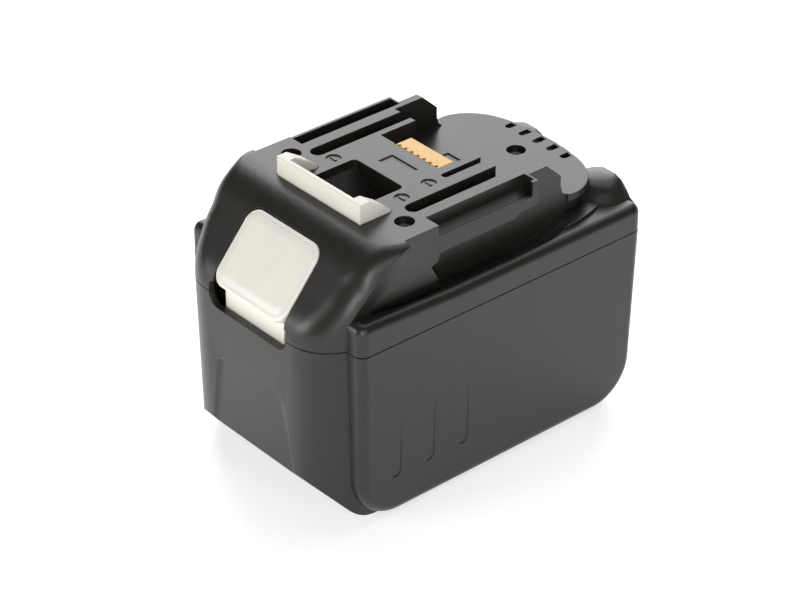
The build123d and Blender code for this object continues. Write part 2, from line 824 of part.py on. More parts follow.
# The latch is one moulding: button, skirt, ribs, web and hook.
with BuildPart() as release_latch:
    add(button_slab(0.0, BUTTON_LOW, -2.6, 0.0))
    rim_edges = [
        e for e in release_latch.edges() if abs(BUTTON_PLANE.to_local_coords(e.center()).Z) < 0.01
    ]
    fillet(rim_edges, 0.9)
    add(
        slab_yz(
            [(-54.5, 50.0), (-54.5, 66.0), (-53.0, 67.8), (-52.7, 50.0)],
            -12.9,
            12.9,
        )
    )
    add(block(-HOOK_HALF, HOOK_HALF, BAR_FRONT, BAR_REAR, 65.0, 83.0))
    add(
        slab_yz(
            [
                (BAR_FRONT, 82.0),
                (BAR_FRONT, HOOK_TOP),
                (-30.2, HOOK_TOP),
                (BAR_REAR, 84.6),
                (BAR_REAR, 82.0),
            ],
            -HOOK_HALF,
            HOOK_HALF,
        )
    )
    arm = [
        (BAR_FRONT, 79.4),
        (BAR_FRONT, HOOK_TOP),
        (-28.2, HOOK_TOP),
        (-23.4, 87.0),
        (ARM_REAR, 84.5),
        (ARM_REAR, 79.4),
    ]
    for side in (-1, 1):
        inner, outer = sorted((side * ARM_IN, side * HOOK_HALF))
        add(slab_yz(arm, inner, outer))
        inner, outer = sorted((side * ARM_IN, side * 19.2))
        add(block(inner, outer, BAR_FRONT + 0.2, -26.5, 79.4, 81.6))
        inner, outer = sorted((side * (SPRING_X - 0.9), side * (SPRING_X + 0.9)))
        add(
            slab_yz(
                [
                    (BAR_FRONT + 0.5, 79.3),
                    (-38.2, 79.1),
                    (-43.6, 74.0),
                    (-53.4, 62.6),
                    (-53.4, 59.6),
                    (-47.6, 59.6),
                    (-41.5, 66.0),
                    (BAR_FRONT + 0.5, 66.0),
                ],
                inner,
                outer,
            )
        )
        inner, outer = sorted((side * (SPRING_X - 3.2), side * (SPRING_X + 3.2)))
        add(block(inner, outer, -53.4, SPRING_Y + 3.2, SPRING_TOP, SPRING_TOP + 1.6))
        add(rod(side * SPRING_X, SPRING_Y, SPRING_TOP - 2.6, SPRING_TOP + 0.5, 1.4))
release_latch.part.label = "release_latch"
export_step(release_latch.part, "parts/release_latch.step")


def coil(x):
    """One compression spring between its post and the latch."""
    wire_r = 0.4
    height = SPRING_TOP - SPRING_FOOT - 2 * wire_r - 0.04
    path = Helix(pitch=height / 6.0, height=height, radius=2.15)
    start = path @ 0
    with BuildPart() as made:
        with BuildSketch(Plane(origin=start, x_dir=(0, 0, 1), z_dir=path % 0)):
            RegularPolygon(wire_r, 8)
        sweep(path=path, is_frenet=True)
    return Pos(x, SPRING_Y, SPRING_FOOT + wire_r + 0.02) * made.part


for spring_name, spring_x in (("latch_spring_left", -SPRING_X), ("latch_spring_right", SPRING_X)):
    with BuildPart() as spring:
        add(coil(spring_x))
    spring.part.label = spring_name
    export_step(spring.part, "parts/" + spring_name + ".step")


with BuildPart() as cover_screws:
    for sx, sy, seat in SCREWS:
        add(rod(sx, sy, seat, seat + SCREW_HEAD_H, SCREW_HEAD_R))
        add(rod(sx, sy, seat - SCREW_L, seat + 0.5, SCREW_R))
        # A six-lobe socket, kept as a plain hexagon.
        with BuildSketch(Plane.XY.offset(seat + SCREW_HEAD_H)):
            with Locations((sx, sy)):
                RegularPolygon(1.35, 6)
        extrude(amount=-1.3, mode=Mode.SUBTRACT)
cover_screws.part.label = "cover_screws"
export_step(cover_screws.part, "parts/cover_screws.step")


WAYS = 7
WAY_PITCH = (CONN_X1 - CONN_X0) / WAYS
WAY_X = [CONN_X0 + WAY_PITCH * (i + 0.5) for i in range(WAYS)]
BOARD_TOP = BOARD + BOARD_T

with BuildPart() as signal_connector:
    add(block(CONN_X0, CONN_X1, CONN_Y0, CONN_Y1, BOARD_TOP, DECK - 0.06))
    top_rim = signal_connector.faces().sort_by(Axis.Z)[-1].edges()
    fillet(top_rim, 0.3)
    for wx in WAY_X:
        add(block(wx - 0.5, wx + 0.5, CONN_Y0 - 1, CONN_Y0 + 1.0, DECK - 1.6, 90), mode=Mode.SUBTRACT)
        add(block(wx - 0.7, wx + 0.7, CONN_Y1 - 3.6, CONN_Y1 + 1, 60, DECK - 1.9), mode=Mode.SUBTRACT)
signal_connector.part.label = "signal_connector"
export_step(signal_connector.part, "parts/signal_connector.step")

with BuildPart() as signal_contacts:
    for wx in WAY_X:
        add(
            slab_yz(
                [
                    (CONN_Y1 - 3.4, BOARD_TOP),
                    (CONN_Y1 - 0.6, BOARD_TOP),
                    (CONN_Y1 - 0.6, 72.0),
                    (CONN_Y1 - 2.2, 76.0),
                    (CONN_Y1 - 1.0, 80.5),
                    (CONN_Y1 - 1.8, 80.5),
                    (CONN_Y1 - 3.4, 76.0),
                ],
                wx - 0.3,
                wx + 0.3,
            )
        )
signal_contacts.part.label = "signal_contacts"
export_step(signal_contacts.part, "parts/signal_contacts.step")


def terminal(side):
    """A spring clip that stands in a slot: two leaves that pinch near their tips."""
    mid = (SLOT_IN + SLOT_OUT) / 2
    leaf = [
        (mid - 1.65, BOARD_TOP),
        (mid - 1.65, 73.5),
        (mid - 0.75, 77.6),
        (mid - 1.35, 80.6),
        (mid - 0.85, 80.6),
        (mid - 0.2, 77.6),
        (mid - 1.1, 73.3),
        (mid - 1.1, BOARD_TOP),
    ]
    other = [(2 * mid - px, pz) for px, pz in reversed(leaf)]
    with BuildPart() as made:
        add(slab_xz(leaf, -10.6, -4.8))
        add(slab_xz(other, -10.6, -4.8))
        add(slab_xz(leaf, -3.6, 2.2))
        add(slab_xz(other, -3.6, 2.2))
        add(block(mid - 1.65, mid + 1.65, -10.6, 2.2, BOARD_TOP, BOARD_TOP + 0.6))
    return made.part if side > 0 else mirror(made.part, about=Plane.YZ)


for clip_name, clip_side in (("positive_terminal", 1), ("negative_terminal", -1)):
    with BuildPart() as clip:
        add(terminal(clip_side))
    clip.part.label = clip_name
    export_step(clip.part, "parts/" + clip_name + ".step")


# Cells, with their ends' insulating rims.
for index in range(15):
    column, layer = divmod(index, 3)
    flip = 1 if column % 2 == 0 else -1
    with BuildPart() as cell:
        start = (-flip * CELL_L / 2, COLUMNS[column], LAYERS[layer])
        with BuildSketch(Plane(origin=start, z_dir=(flip, 0, 0))):
            Circle(CELL_R)
        extrude(amount=CELL_L - 0.8)
        with BuildSketch(
            Plane(
                origin=(flip * (CELL_L / 2 - 0.8), COLUMNS[column], LAYERS[layer]),
                z_dir=(flip, 0, 0),
            )
        ):
            Circle(4.5)
        extrude(amount=0.8)
    cell_name = "cell_%02d" % (index + 1)
    cell.part.label = cell_name
    export_step(cell.part, "parts/" + cell_name + ".step")


HOLDER_IN = 22.5
HOLDER_OUT = 32.4
SOCKET_R = CELL_R + 0.05
POST_R = 3.4
TOP_Z = LAYERS[-1] + CELL_R

holder_room = tub(WALL + 0.3)
for holder_name, side in (("cell_holder_left", -1), ("cell_holder_right", 1)):
    with BuildPart() as holder:
        inner, outer = sorted((side * HOLDER_IN, side * HOLDER_OUT))
        add(block(inner, outer, COLUMNS[0] - 10.1, COLUMNS[-1] + 10.1, 1, PARTING - 0.2))
        add(holder_room, mode=Mode.INTERSECT)
        for sx, sy, seat in SCREWS[:2]:
            if sx * side > 0:
                add(rod(sx, sy, 54.0, 77.8, POST_R))
        for cy in COLUMNS:
            for cz in LAYERS:
                with BuildSketch(Plane(origin=(side * 20.0, cy, cz), z_dir=(side, 0, 0))):
                    Circle(SOCKET_R)
                extrude(amount=20, mode=Mode.SUBTRACT)
        for sx, sy, seat in SCREWS[:2]:
            if sx * side > 0:
                add(rod(sx, sy, seat - SCREW_L - 1.0, 90, SCREW_R + 0.05), mode=Mode.SUBTRACT)
    holder.part.label = holder_name
    export_step(holder.part, "parts/" + holder_name + ".step")


STRIP_X = CELL_L / 2 + 0.05
STRIP_T = 0.2
STRIPS = {
    "nickel_strip_right_1": (1, [0]),
    "nickel_strip_right_2": (1, [1, 2]),
    "nickel_strip_right_3": (1, [3, 4]),
    "nickel_strip_left_1": (-1, [0, 1]),
    "nickel_strip_left_2": (-1, [2, 3]),
    "nickel_strip_left_3": (-1, [4]),
}
for strip_name, (side, columns) in STRIPS.items():
    with BuildPart() as strip:
        inner, outer = sorted((side * STRIP_X, side * (STRIP_X + STRIP_T)))
        for c in columns:
            add(block(inner, outer, COLUMNS[c] - 3.5, COLUMNS[c] + 3.5, 7.0, 53.5))
        if len(columns) == 2:
            for cz in LAYERS:
                add(block(inner, outer, COLUMNS[columns[0]], COLUMNS[columns[1]], cz - 2.5, cz + 2.5))
        for c in columns:
            for cz in LAYERS:
                slit = block(inner, outer, COLUMNS[c] - 0.4, COLUMNS[c] + 0.4, cz - 2.0, cz + 2.0)
                add(slit, mode=Mode.SUBTRACT)
    strip.part.label = strip_name
    export_step(strip.part, "parts/" + strip_name + ".step")

for sheet_name, side in (("end_sheet_left", -1), ("end_sheet_right", 1)):
    with BuildPart() as sheet:
        inner, outer = sorted((side * (STRIP_X + STRIP_T + 0.1), side * (STRIP_X + STRIP_T + 0.4)))
        add(block(inner, outer, COLUMNS[0] - 6.0, COLUMNS[-1] + 6.0, 7.0, 55.5))
    sheet.part.label = sheet_name
    export_step(sheet.part, "parts/" + sheet_name + ".step")

with BuildPart() as top_sheet:
    add(block(-20.5, 20.5, -24.0, 49.5, TOP_Z + 0.05, TOP_Z + 0.3))
top_sheet.part.label = "top_sheet"
export_step(top_sheet.part, "parts/top_sheet.step")

TRAY = TOP_Z + 0.35
with BuildPart() as board_tray:
    add(slab_xy([(-20, -16.5), (20, -16.5), (20, 48.0), (-20, 48.0)], TRAY, TRAY + 1.15, {}))
    for px in (-17.5, 17.5):
        for py in (-13.0, 14.0, 38.0):
            add(rod(px, py, TRAY, BOARD, 2.2))
    rear_x, rear_y, rear_seat = SCREWS[2]
    add(rod(rear_x, rear_y, TRAY, 66.2, 3.4))
    add(rod(rear_x, rear_y, rear_seat - SCREW_L - 0.1, 90, SCREW_R + 0.05), mode=Mode.SUBTRACT)
board_tray.part.label = "board_tray"
export_step(board_tray.part, "parts/board_tray.step")

with BuildPart() as circuit_board:
    add(
        slab_xy(
            [
                (-23.2, -16.0),
                (23.2, -16.0),
                (23.2, 30.0),
                (20.5, 33.0),
                (20.5, 41.5),
                (16.5, 45.0),
                (-16.5, 45.0),
                (-20.5, 41.5),
                (-20.5, 33.0),
                (-23.2, 30.0),
            ],
            BOARD,
            BOARD_TOP,
        )
    )
    add(rod(SCREWS[2][0], SCREWS[2][1], 50, 70, 3.9), mode=Mode.SUBTRACT)
circuit_board.part.label = "circuit_board"
export_step(circuit_board.part, "parts/circuit_board.step")

with BuildPart() as control_chip:
    add(block(-6.0, 4.0, 18.0, 28.0, BOARD_TOP, BOARD_TOP + 1.4))
control_chip.part.label = "control_chip"
export_step(control_chip.part, "parts/control_chip.step")

with BuildPart() as power_switches:
    for sx in (-15.0, -7.5, 7.5, 15.0):
        add(block(sx - 3.2, sx + 3.2, -14.5, -8.0, BOARD_TOP, BOARD_TOP + 2.3))
        add(block(sx - 2.6, sx + 2.6, -8.2, -6.8, BOARD_TOP, BOARD_TOP + 0.6))
power_switches.part.label = "power_switches"
export_step(power_switches.part, "parts/power_switches.step")

with BuildPart() as shunt_resistor:
    add(block(-14.0, -8.0, 34.0, 37.5, BOARD_TOP, BOARD_TOP + 1.0))
shunt_resistor.part.label = "shunt_resistor"
export_step(shunt_resistor.part, "parts/shunt_resistor.step")

with BuildPart() as positive_lead:
    add(block(STRIP_X, STRIP_X + STRIP_T, COLUMNS[0] - 2.5, COLUMNS[0] + 2.5, 53.5, 59.8))
    add(block(24.0, STRIP_X + STRIP_T, COLUMNS[0] - 2.5, COLUMNS[0] + 2.5, 59.55, 59.8))
    add(block(28.4, 31.4, COLUMNS[0] - 2.5, -10.0, 59.55, 59.8))
    add(block(24.0, 31.4, -14.0, -10.0, 59.55, 59.8))
    add(block(24.0, 24.25, -14.0, -10.0, 59.55, BOARD_TOP + 0.3))
    add(block(22.2, 24.25, -14.0, -10.0, BOARD_TOP + 0.05, BOARD_TOP + 0.3))
positive_lead.part.label = "positive_lead"
export_step(positive_lead.part, "parts/positive_lead.step")

with BuildPart() as negative_lead:
    low_y = COLUMNS[-1] - 3.4
    add(block(-STRIP_X - STRIP_T, -STRIP_X, low_y, low_y + 4.0, 53.5, 59.85))
    add(block(-STRIP_X - STRIP_T, -21.0, low_y, low_y + 4.0, 59.6, 59.85))
    add(block(-21.25, -21.0, low_y, low_y + 4.0, 59.6, BOARD_TOP + 0.3))
    add(block(-21.25, -16.5, low_y, low_y + 4.0, BOARD_TOP + 0.05, BOARD_TOP + 0.3))
negative_lead.part.label = "negative_lead"
export_step(negative_lead.part, "parts/negative_lead.step")

with BuildPart() as thermistor:
    gap_y = (COLUMNS[1] + COLUMNS[2]) / 2
    with BuildSketch(Plane(origin=(-4, gap_y, LAYERS[-1] + 4.9), z_dir=(1, 0, 0))):
        Circle(1.5)
    extrude(amount=8)
thermistor.part.label = "thermistor"
export_step(thermistor.part, "parts/thermistor.step")
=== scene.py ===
"""Looks of the battery pack: finishes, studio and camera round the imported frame.

The CAD frame gives the main shapes. This script dresses the frame's nodes in smoothed
copies with procedural finishes, adds the small pieces that the solids leave out, and
lights it all like a catalogue picture.
"""

from __future__ import annotations

import json
import logging
import math
from collections.abc import Iterable, Sequence
from dataclasses import dataclass
from enum import Enum
from typing import Any

import bmesh
import bpy
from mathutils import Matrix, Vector

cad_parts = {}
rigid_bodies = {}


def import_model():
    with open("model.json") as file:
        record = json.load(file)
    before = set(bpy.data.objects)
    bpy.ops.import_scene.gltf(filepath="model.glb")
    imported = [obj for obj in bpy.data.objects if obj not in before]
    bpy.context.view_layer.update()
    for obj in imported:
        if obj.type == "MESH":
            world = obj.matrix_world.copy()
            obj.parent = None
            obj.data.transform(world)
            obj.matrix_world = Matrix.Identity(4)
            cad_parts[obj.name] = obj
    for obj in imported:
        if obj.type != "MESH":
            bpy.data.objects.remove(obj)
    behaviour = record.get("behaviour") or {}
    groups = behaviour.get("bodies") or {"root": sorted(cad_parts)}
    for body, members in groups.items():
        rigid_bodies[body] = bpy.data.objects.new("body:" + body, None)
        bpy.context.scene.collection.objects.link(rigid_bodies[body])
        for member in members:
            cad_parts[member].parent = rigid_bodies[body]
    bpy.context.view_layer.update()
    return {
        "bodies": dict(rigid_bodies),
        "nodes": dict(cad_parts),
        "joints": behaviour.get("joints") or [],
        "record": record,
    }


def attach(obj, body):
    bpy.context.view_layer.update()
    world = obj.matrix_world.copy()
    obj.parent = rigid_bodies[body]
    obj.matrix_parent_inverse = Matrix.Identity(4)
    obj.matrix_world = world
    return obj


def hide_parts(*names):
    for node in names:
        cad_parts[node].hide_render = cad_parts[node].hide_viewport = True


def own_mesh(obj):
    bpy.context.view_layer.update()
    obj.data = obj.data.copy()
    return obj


LOG = logging.getLogger("battery_pack")

Color = tuple[float, float, float]
Point = tuple[float, float, float]
Term = Any

MM = 0.001
MERGE = 0.002 * MM
SMOOTH_ANGLE = math.radians(32.0)
RIGHT_ANGLE = 0.5 * math.pi

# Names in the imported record.
TUB = "lower_housing"
LATCH_JOINT = "latch_slide"

# The shell's and the cell block's measures, in millimetres. A draft is millimetres to a millimetre.
NOSE_FRONT = -57.3
NOSE_BACK = -34.0
SEAM = 57.3
FRONT_DRAFT = 0.023
BODY_HALF = 37.5
SIDE_DRAFT = 0.02
STRIP_FACE = 32.75

# The latch springs' fixed foot, and how much further than the latch they shorten, in millimetres.
SPRING_FOOT = 41.02
SPRING_SLACK = 0.15

# What the finishes share: the grain's height, the light that scatters in pale plastic, the
# shader's edge samples, and the smoother nose with the widths over which it fades out.
GRAIN_MM = 0.1
SCATTER_MM = 1.5
SCATTER_COLOR = (1.0, 0.8, 0.5)
CLOUD_DETAIL = 3.0
EDGE_SAMPLES = 6
NOSE_GLOSS = 0.02
NOSE_FADE_BACK = 2.0
NOSE_FADE_UP = 0.8


class Finish(Enum):
    """The finishes that the pack's pieces take, by the record's material slot."""

    HOUSING = "housing_plastic"
    LATCH = "latch_plastic"
    CONNECTOR = "connector_plastic"
    SCREW = "screw_steel"
    TERMINAL = "terminal_brass"
    SPRING = "spring_steel"
    NICKEL = "nickel"
    JACKET = "cell_jacket"
    HOLDER = "holder_plastic"
    INSULATION = "insulation"
    LAMINATE = "board_laminate"
    COMPONENT = "component_black"
    BEAD = "thermistor_bead"


class Value:
    """A number in a node tree, which adds Math nodes through Python's operators.

    Args:
        kit: The tree that the number belongs to.
        socket: The output socket that carries it.
    """

    def __init__(self, kit: NodeKit, socket: bpy.types.NodeSocket) -> None:
        self.kit = kit
        self.socket = socket

    def _math(self, operation: str, *terms: Value | float) -> Value:
        """Returns one Math node's result on the given terms."""
        return self.kit.value("ShaderNodeMath", {"operation": operation}, *terms)

    def __add__(self, other: Value | float) -> Value:
        """Returns the sum."""
        return self._math("ADD", self, other)

    __radd__ = __add__

    def __sub__(self, other: Value | float) -> Value:
        """Returns the difference."""
        return self._math("SUBTRACT", self, other)

    def __rsub__(self, other: Value | float) -> Value:
        """Returns the difference the other way round."""
        return self._math("SUBTRACT", other, self)

    def __mul__(self, other: Value | float) -> Value:
        """Returns the product."""
        return self._math("MULTIPLY", self, other)

    __rmul__ = __mul__

    def step(self, low: float, high: float) -> Value:
        """Returns an eased step.

        Args:
            low: The number at which the step is 0.
            high: The number at which the step is 1.

        Returns:
            A number between 0 and 1.
        """
        settings = {"interpolation_type": "SMOOTHSTEP"}
        return self.kit.value("ShaderNodeMapRange", settings, self, low, high)


class NodeKit:
    """A node tree, to which one method adds every node.

    Args:
        tree: The tree that the nodes go into.
    """

    def __init__(self, tree: bpy.types.NodeTree) -> None:
        self.tree = tree

    def node(
        self, kind: str, settings: dict[str, Any], *terms: Term, **named: Term
    ) -> bpy.types.Node:
        """Adds one node.

        Args:
            kind: The node's type.
            settings: Its settings, which are set first.
            terms: Numbers or links of its first sockets, in order.
            named: Numbers or links of its named sockets, with _ for a space.

        Returns:
            The node.
        """
        made = self.tree.nodes.new(kind)
        for key, setting in settings.items():
            setattr(made, key, setting)
        for index, term in enumerate(terms):
            self.feed(made.inputs[index], term)
        for key, term in named.items():
            self.feed(made.inputs[key.replace("_", " ")], term)
        return made

    def feed(self, socket: bpy.types.NodeSocket, term: Term) -> None:
        """Links a socket, or sets its own number or colour.

        Args:
            socket: The input socket.
            term: A Value or an output socket to link, or a plain setting.
        """
        if isinstance(term, Value):
            self.tree.links.new(term.socket, socket)
        elif isinstance(term, bpy.types.NodeSocket):
            self.tree.links.new(term, socket)
        else:
            socket.default_value = term

    def value(self, kind: str, settings: dict[str, Any], *terms: Term) -> Value:
        """Returns the first output of a new node as a number.

        Args:
            kind: The node's type.
            settings: Its settings.
            terms: Numbers or links of its first sockets, in order.

        Returns:
            The number, ready for arithmetic.
        """
        return Value(self, self.node(kind, settings, *terms).outputs[0])


class Graph(NodeKit):
    """A material's nodes.

    Args:
        name: The material's name.
    """

    def __init__(self, name: str) -> None:
        self.material = bpy.data.materials.new(name)
        self.material.use_nodes = True
        super().__init__(self.material.node_tree)
        self.shader = self.tree.nodes["Principled BSDF"]

    def place(self) -> bpy.types.NodeSocket:
        """Returns the place on the piece, in the pack's own frame."""
        return self.node("ShaderNodeTexCoord", {}).outputs["Object"]

    def noise(self, size: float, detail: float = 2.0) -> Value:
        """Returns a cloud of numbers about a half.

        Args:
            size: The clouds' size in metres.
            detail: How many octaves it has.

        Returns:
            The number at each place.
        """
        cloud = self.node(
            "ShaderNodeTexNoise", {}, Vector=self.place(), Scale=1.0 / size, Detail=detail
        )
        return Value(self, cloud.outputs[0])

    def mix(self, share: Value | float, low: Term, high: Term) -> bpy.types.NodeSocket:
        """Returns a blend of two colours.

        Args:
            share: How much of the second colour there is.
            low: The first colour.
            high: The second colour.

        Returns:
            The blended colour's socket.
        """
        blend = self.node("ShaderNodeMix", {"data_type": "RGBA"})
        self.feed(blend.inputs[0], share)
        self.feed(blend.inputs[6], low)
        self.feed(blend.inputs[7], high)
        return blend.outputs[2]

    def axes(self) -> tuple[Value, Value, Value]:
        """Returns the place's X, Y and Z as numbers."""
        split = self.node("ShaderNodeSeparateXYZ", {}, self.place())
        return tuple(Value(self, split.outputs[index]) for index in range(3))


@dataclass(frozen=True)
class Recipe:
    """What sets one finish apart from the others.

    Args:
        color: The base colour, linear.
        roughness: The mean roughness.
        metallic: 1 for metal.
        grain_mm: The size of the surface's grain, or 0 for none.
        grain_depth: The bump strength of the grain.
        roughness_span: How much the roughness wanders.
        color_span: How much the colour wanders, as a share.
        edge_mm: The radius that the shader gives to sharp edges.
        subsurface: The weight of light scattered inside.
        ior: The index of refraction.
        cloud_mm: The size of the clouds in which colour and roughness wander.
    """

    color: Color
    roughness: float
    metallic: float = 0.0
    grain_mm: float = 0.0
    grain_depth: float = 0.0
    roughness_span: float = 0.05
    color_span: float = 0.06
    edge_mm: float = 0.25
    subsurface: float = 0.0
    ior: float = 1.5
    cloud_mm: float = 11.0


RECIPES: dict[Finish, Recipe] = {
    Finish.HOUSING: Recipe(
        (0.0182, 0.0162, 0.0134),
        0.34,
        grain_mm=0.28,
        grain_depth=0.05,
        edge_mm=0.3,
        ior=1.46,
        roughness_span=0.03,
    ),
    Finish.LATCH: Recipe(
        (0.80, 0.775, 0.69), 0.38, grain_mm=0.5, grain_depth=0.02, subsurface=0.15, edge_mm=0.6
    ),
    Finish.CONNECTOR: Recipe((0.82, 0.47, 0.122), 0.45, edge_mm=0.2, subsurface=0.1),
    Finish.SCREW: Recipe((0.28, 0.28, 0.28), 0.3, metallic=1.0),
    Finish.TERMINAL: Recipe((0.55, 0.42, 0.24), 0.35, metallic=1.0),
    Finish.SPRING: Recipe((0.55, 0.55, 0.56), 0.3, metallic=1.0),
    Finish.NICKEL: Recipe((0.62, 0.60, 0.56), 0.35, metallic=1.0),
    Finish.JACKET: Recipe((0.04, 0.20, 0.30), 0.28),
    Finish.HOLDER: Recipe((0.05, 0.05, 0.053), 0.5),
    Finish.INSULATION: Recipe((0.26, 0.33, 0.27), 0.7),
    Finish.LAMINATE: Recipe((0.02, 0.12, 0.05), 0.35),
    Finish.COMPONENT: Recipe((0.02, 0.02, 0.02), 0.5),
    Finish.BEAD: Recipe((0.04, 0.035, 0.03), 0.25),
}


class FinishMaker:
    """Builds the procedural material of each finish, once."""

    def __init__(self) -> None:
        self._made: dict[Finish, bpy.types.Material] = {}

    def material(self, finish: Finish) -> bpy.types.Material:
        """Returns the material of a finish.

        Args:
            finish: The finish wanted.

        Returns:
            The material, made at the first call.
        """
        if finish not in self._made:
            self._made[finish] = self._make(finish, RECIPES[finish])
        return self._made[finish]

    def _make(self, finish: Finish, recipe: Recipe) -> bpy.types.Material:
        """Builds one finish's graph.

        Args:
            finish: The finish.
            recipe: What sets it apart.

        Returns:
            The material.
        """
        graph = Graph(finish.value + "_look")
        wander = graph.noise(recipe.cloud_mm * MM, CLOUD_DETAIL)
        roughness = recipe.roughness + (wander - 0.5) * (2.0 * recipe.roughness_span)
        if finish is Finish.HOUSING:
            roughness = roughness - self._gloss_mask(graph) * NOSE_GLOSS
        low = tuple(channel * (1.0 - recipe.color_span) for channel in recipe.color)
        high = tuple(min(channel * (1.0 + recipe.color_span), 1.0) for channel in recipe.color)
        color = graph.mix(wander, (*low, 1.0), (*high, 1.0))

        edge = graph.node(
            "ShaderNodeBevel", {"samples": EDGE_SAMPLES}, Radius=recipe.edge_mm * MM
        )
        normal = edge.outputs["Normal"]

        shader = graph.shader
        graph.feed(shader.inputs["Base Color"], color)
        graph.feed(shader.inputs["Roughness"], roughness)
        shader.inputs["Metallic"].default_value = recipe.metallic
        shader.inputs["IOR"].default_value = recipe.ior
        shader.inputs["Subsurface Weight"].default_value = recipe.subsurface
        shader.inputs["Subsurface Radius"].default_value = SCATTER_COLOR
        shader.inputs["Subsurface Scale"].default_value = SCATTER_MM * MM

        if recipe.grain_mm:
            grain = graph.noise(recipe.grain_mm * MM)
            bump = graph.node(
                "ShaderNodeBump", {}, Distance=GRAIN_MM * MM, Height=grain, Normal=normal
            )
            bump.inputs["Strength"].default_value = recipe.grain_depth
            normal = bump.outputs["Normal"]
        graph.feed(shader.inputs["Normal"], normal)
        return graph.material

    @staticmethod
    def _gloss_mask(graph: Graph) -> Value:
        """Returns 1 on the smoother nose and 0 on the grained rest."""
        _, along, height = graph.axes()
        before = along.step((NOSE_BACK + NOSE_FADE_BACK) * MM, NOSE_BACK * MM)
        above = height.step(SEAM * MM, (SEAM + NOSE_FADE_UP) * MM)
        return before * above


@dataclass(frozen=True)
class Relief:
    """How shallow the tub's sunk panel and flutes look, as moulded.

    Its lengths are in millimetres.

    Args:
        panel_share: What is left of the panel's depth.
        flute_share: What is left of the flutes' depth.
        panel_half: Half the width within which the panel lies.
        panel_top: The height below which it lies.
        panel_depth: The most that it may be sunk, past which a place is inside the tub.
        flute_front: The Y behind which the flutes lie.
        flute_back: The Y before which they lie.
        flute_foot: The height above which they lie.
        flute_head: The height below which they lie.
        flute_depth: The most that they may be sunk.
        skin: How little a place may be sunk and still count as the wall.
    """

    panel_share: float = 0.65
    flute_share: float = 0.4
    panel_half: float = 20.0
    panel_top: float = 39.0
    panel_depth: float = 0.95
    flute_front: float = -38.0
    flute_back: float = -8.0
    flute_foot: float = 12.0
    flute_head: float = 41.0
    flute_depth: float = 0.7
    skin: float = 0.03

    @staticmethod
    def front_at(height: float) -> float:
        """Returns the front wall's Y at a height."""
        return NOSE_FRONT + FRONT_DRAFT * (SEAM - height)

    @staticmethod
    def side_at(height: float) -> float:
        """Returns the side wall's distance from the middle at a height."""
        return BODY_HALF - SIDE_DRAFT * (SEAM - height)

    def _on_panel(self, x: float, z: float, sunk: float) -> bool:
        """Says whether a place lies on the sunk front panel."""
        return abs(x) < self.panel_half and z < self.panel_top and self.skin < sunk < self.panel_depth

    def _in_flute(self, y: float, z: float, inset: float) -> bool:
        """Says whether a place lies in one of the side flutes."""
        beside = self.flute_front < y < self.flute_back and self.flute_foot < z < self.flute_head
        return beside and self.skin < inset < self.flute_depth

    def soften(self, mesh: bpy.types.Mesh) -> int:
        """Lifts the sunk places part of the way to the wall.

        Args:
            mesh: The tub's merged mesh.

        Returns:
            How many vertices moved.
        """
        moved = 0
        for vertex in mesh.vertices:
            x, y, z = (value / MM for value in vertex.co)
            sunk = y - self.front_at(z)
            if self._on_panel(x, z, sunk):
                vertex.co.y = (self.front_at(z) + sunk * self.panel_share) * MM
                moved += 1
            inset = self.side_at(z) - abs(x)
            if self._in_flute(y, z, inset):
                wall = self.side_at(z) - inset * self.flute_share
                vertex.co.x = math.copysign(wall, x) * MM
                moved += 1
        return moved


